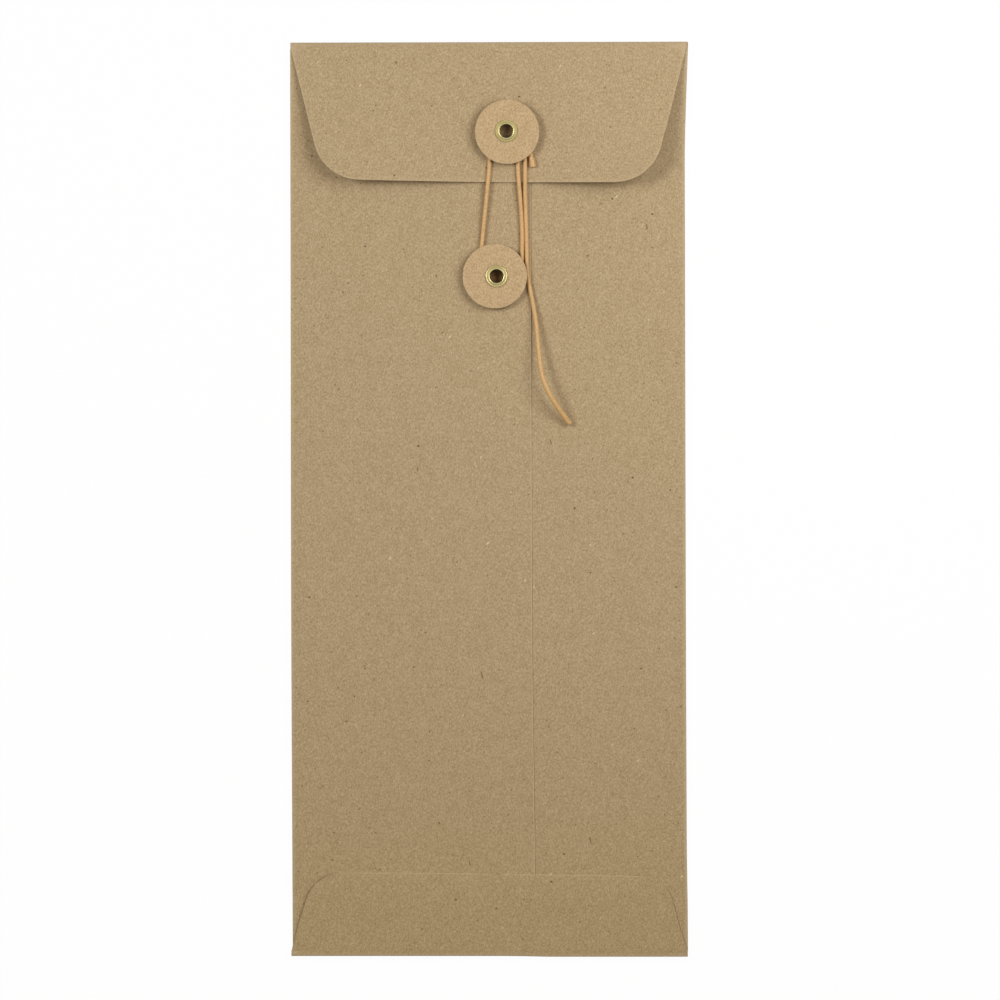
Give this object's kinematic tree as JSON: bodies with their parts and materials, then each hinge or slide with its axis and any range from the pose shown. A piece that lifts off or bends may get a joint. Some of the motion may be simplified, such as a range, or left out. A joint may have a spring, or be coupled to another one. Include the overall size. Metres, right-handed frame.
{
  "type": "string tie envelope",
  "caption": "Tall kraft paper envelope with a centre seam, a fold-over closure flap and a waxed string wound round board buttons on brass eyelets.",
  "frame": {"origin": "middle of the back face, which lies on the table", "axes": "+X to the right and +Y up towards the closure flap's fold, seen from the front; +Z out of the front"},
  "size_m": [0.1048, 0.2412, 0.007],
  "materials": {
    "kraft_paper": "matte",
    "button_board": "matte",
    "brass": "satin",
    "waxed_string": "satin",
    "glue": "matte"
  },
  "bodies": {
    "back": {"back_panel": "kraft_paper", "left_fold": "kraft_paper", "right_fold": "kraft_paper", "bottom_fold": "kraft_paper", "top_fold": "kraft_paper"},
    "front": {"left_panel": "kraft_paper", "right_panel": "kraft_paper", "seam_tuck": "kraft_paper", "seam_glue": "glue", "bottom_flap": "kraft_paper", "bottom_glue": "glue", "pocket_eyelet": "brass"},
    "flap": {"closure_flap": "kraft_paper", "flap_eyelet": "brass"},
    "upper_button": {"flap_button": "button_board"},
    "lower_button": {"pocket_button": "button_board"},
    "string": {"string_winding": "waxed_string", "string_tail": "waxed_string"}
  },
  "joints": [
    {"name": "flap_fold", "type": "hinge", "parent": "back", "child": "flap", "pos_m": [0, 0.11925, 0.0014], "axis": [-1, 0, 0], "range_deg": [0, 165], "deforming": ["top_fold"]},
    {"name": "mouth_gape", "type": "hinge", "parent": "back", "child": "front", "pos_m": [0, -0.11945, 0.0012], "axis": [1, 0, 0], "range_deg": [0, 2.5], "deforming": ["left_fold", "right_fold", "bottom_fold"]},
    {"name": "flap_button_spin", "type": "hinge", "parent": "flap", "child": "upper_button", "pos_m": [0.00492, 0.09706, 0.0028], "axis": [0, 0, 1], "continuous": true},
    {"name": "pocket_button_spin", "type": "hinge", "parent": "front", "child": "lower_button", "pos_m": [0.00224, 0.05878, 0.00195], "axis": [0, 0, 1], "continuous": true},
    {"name": "string_droop", "type": "hinge", "parent": "flap", "child": "string", "pos_m": [0, 0.082, 0.00337], "axis": [-1, 0, 0], "range_deg": [0, 22], "deforming": ["string_winding", "string_tail"]}
  ],
  "couplings": [
    {"joint": "mouth_gape", "follows": "flap_fold", "ratio": 0.0151},
    {"joint": "string_droop", "follows": "flap_fold", "ratio": 0.1333}
  ]
}
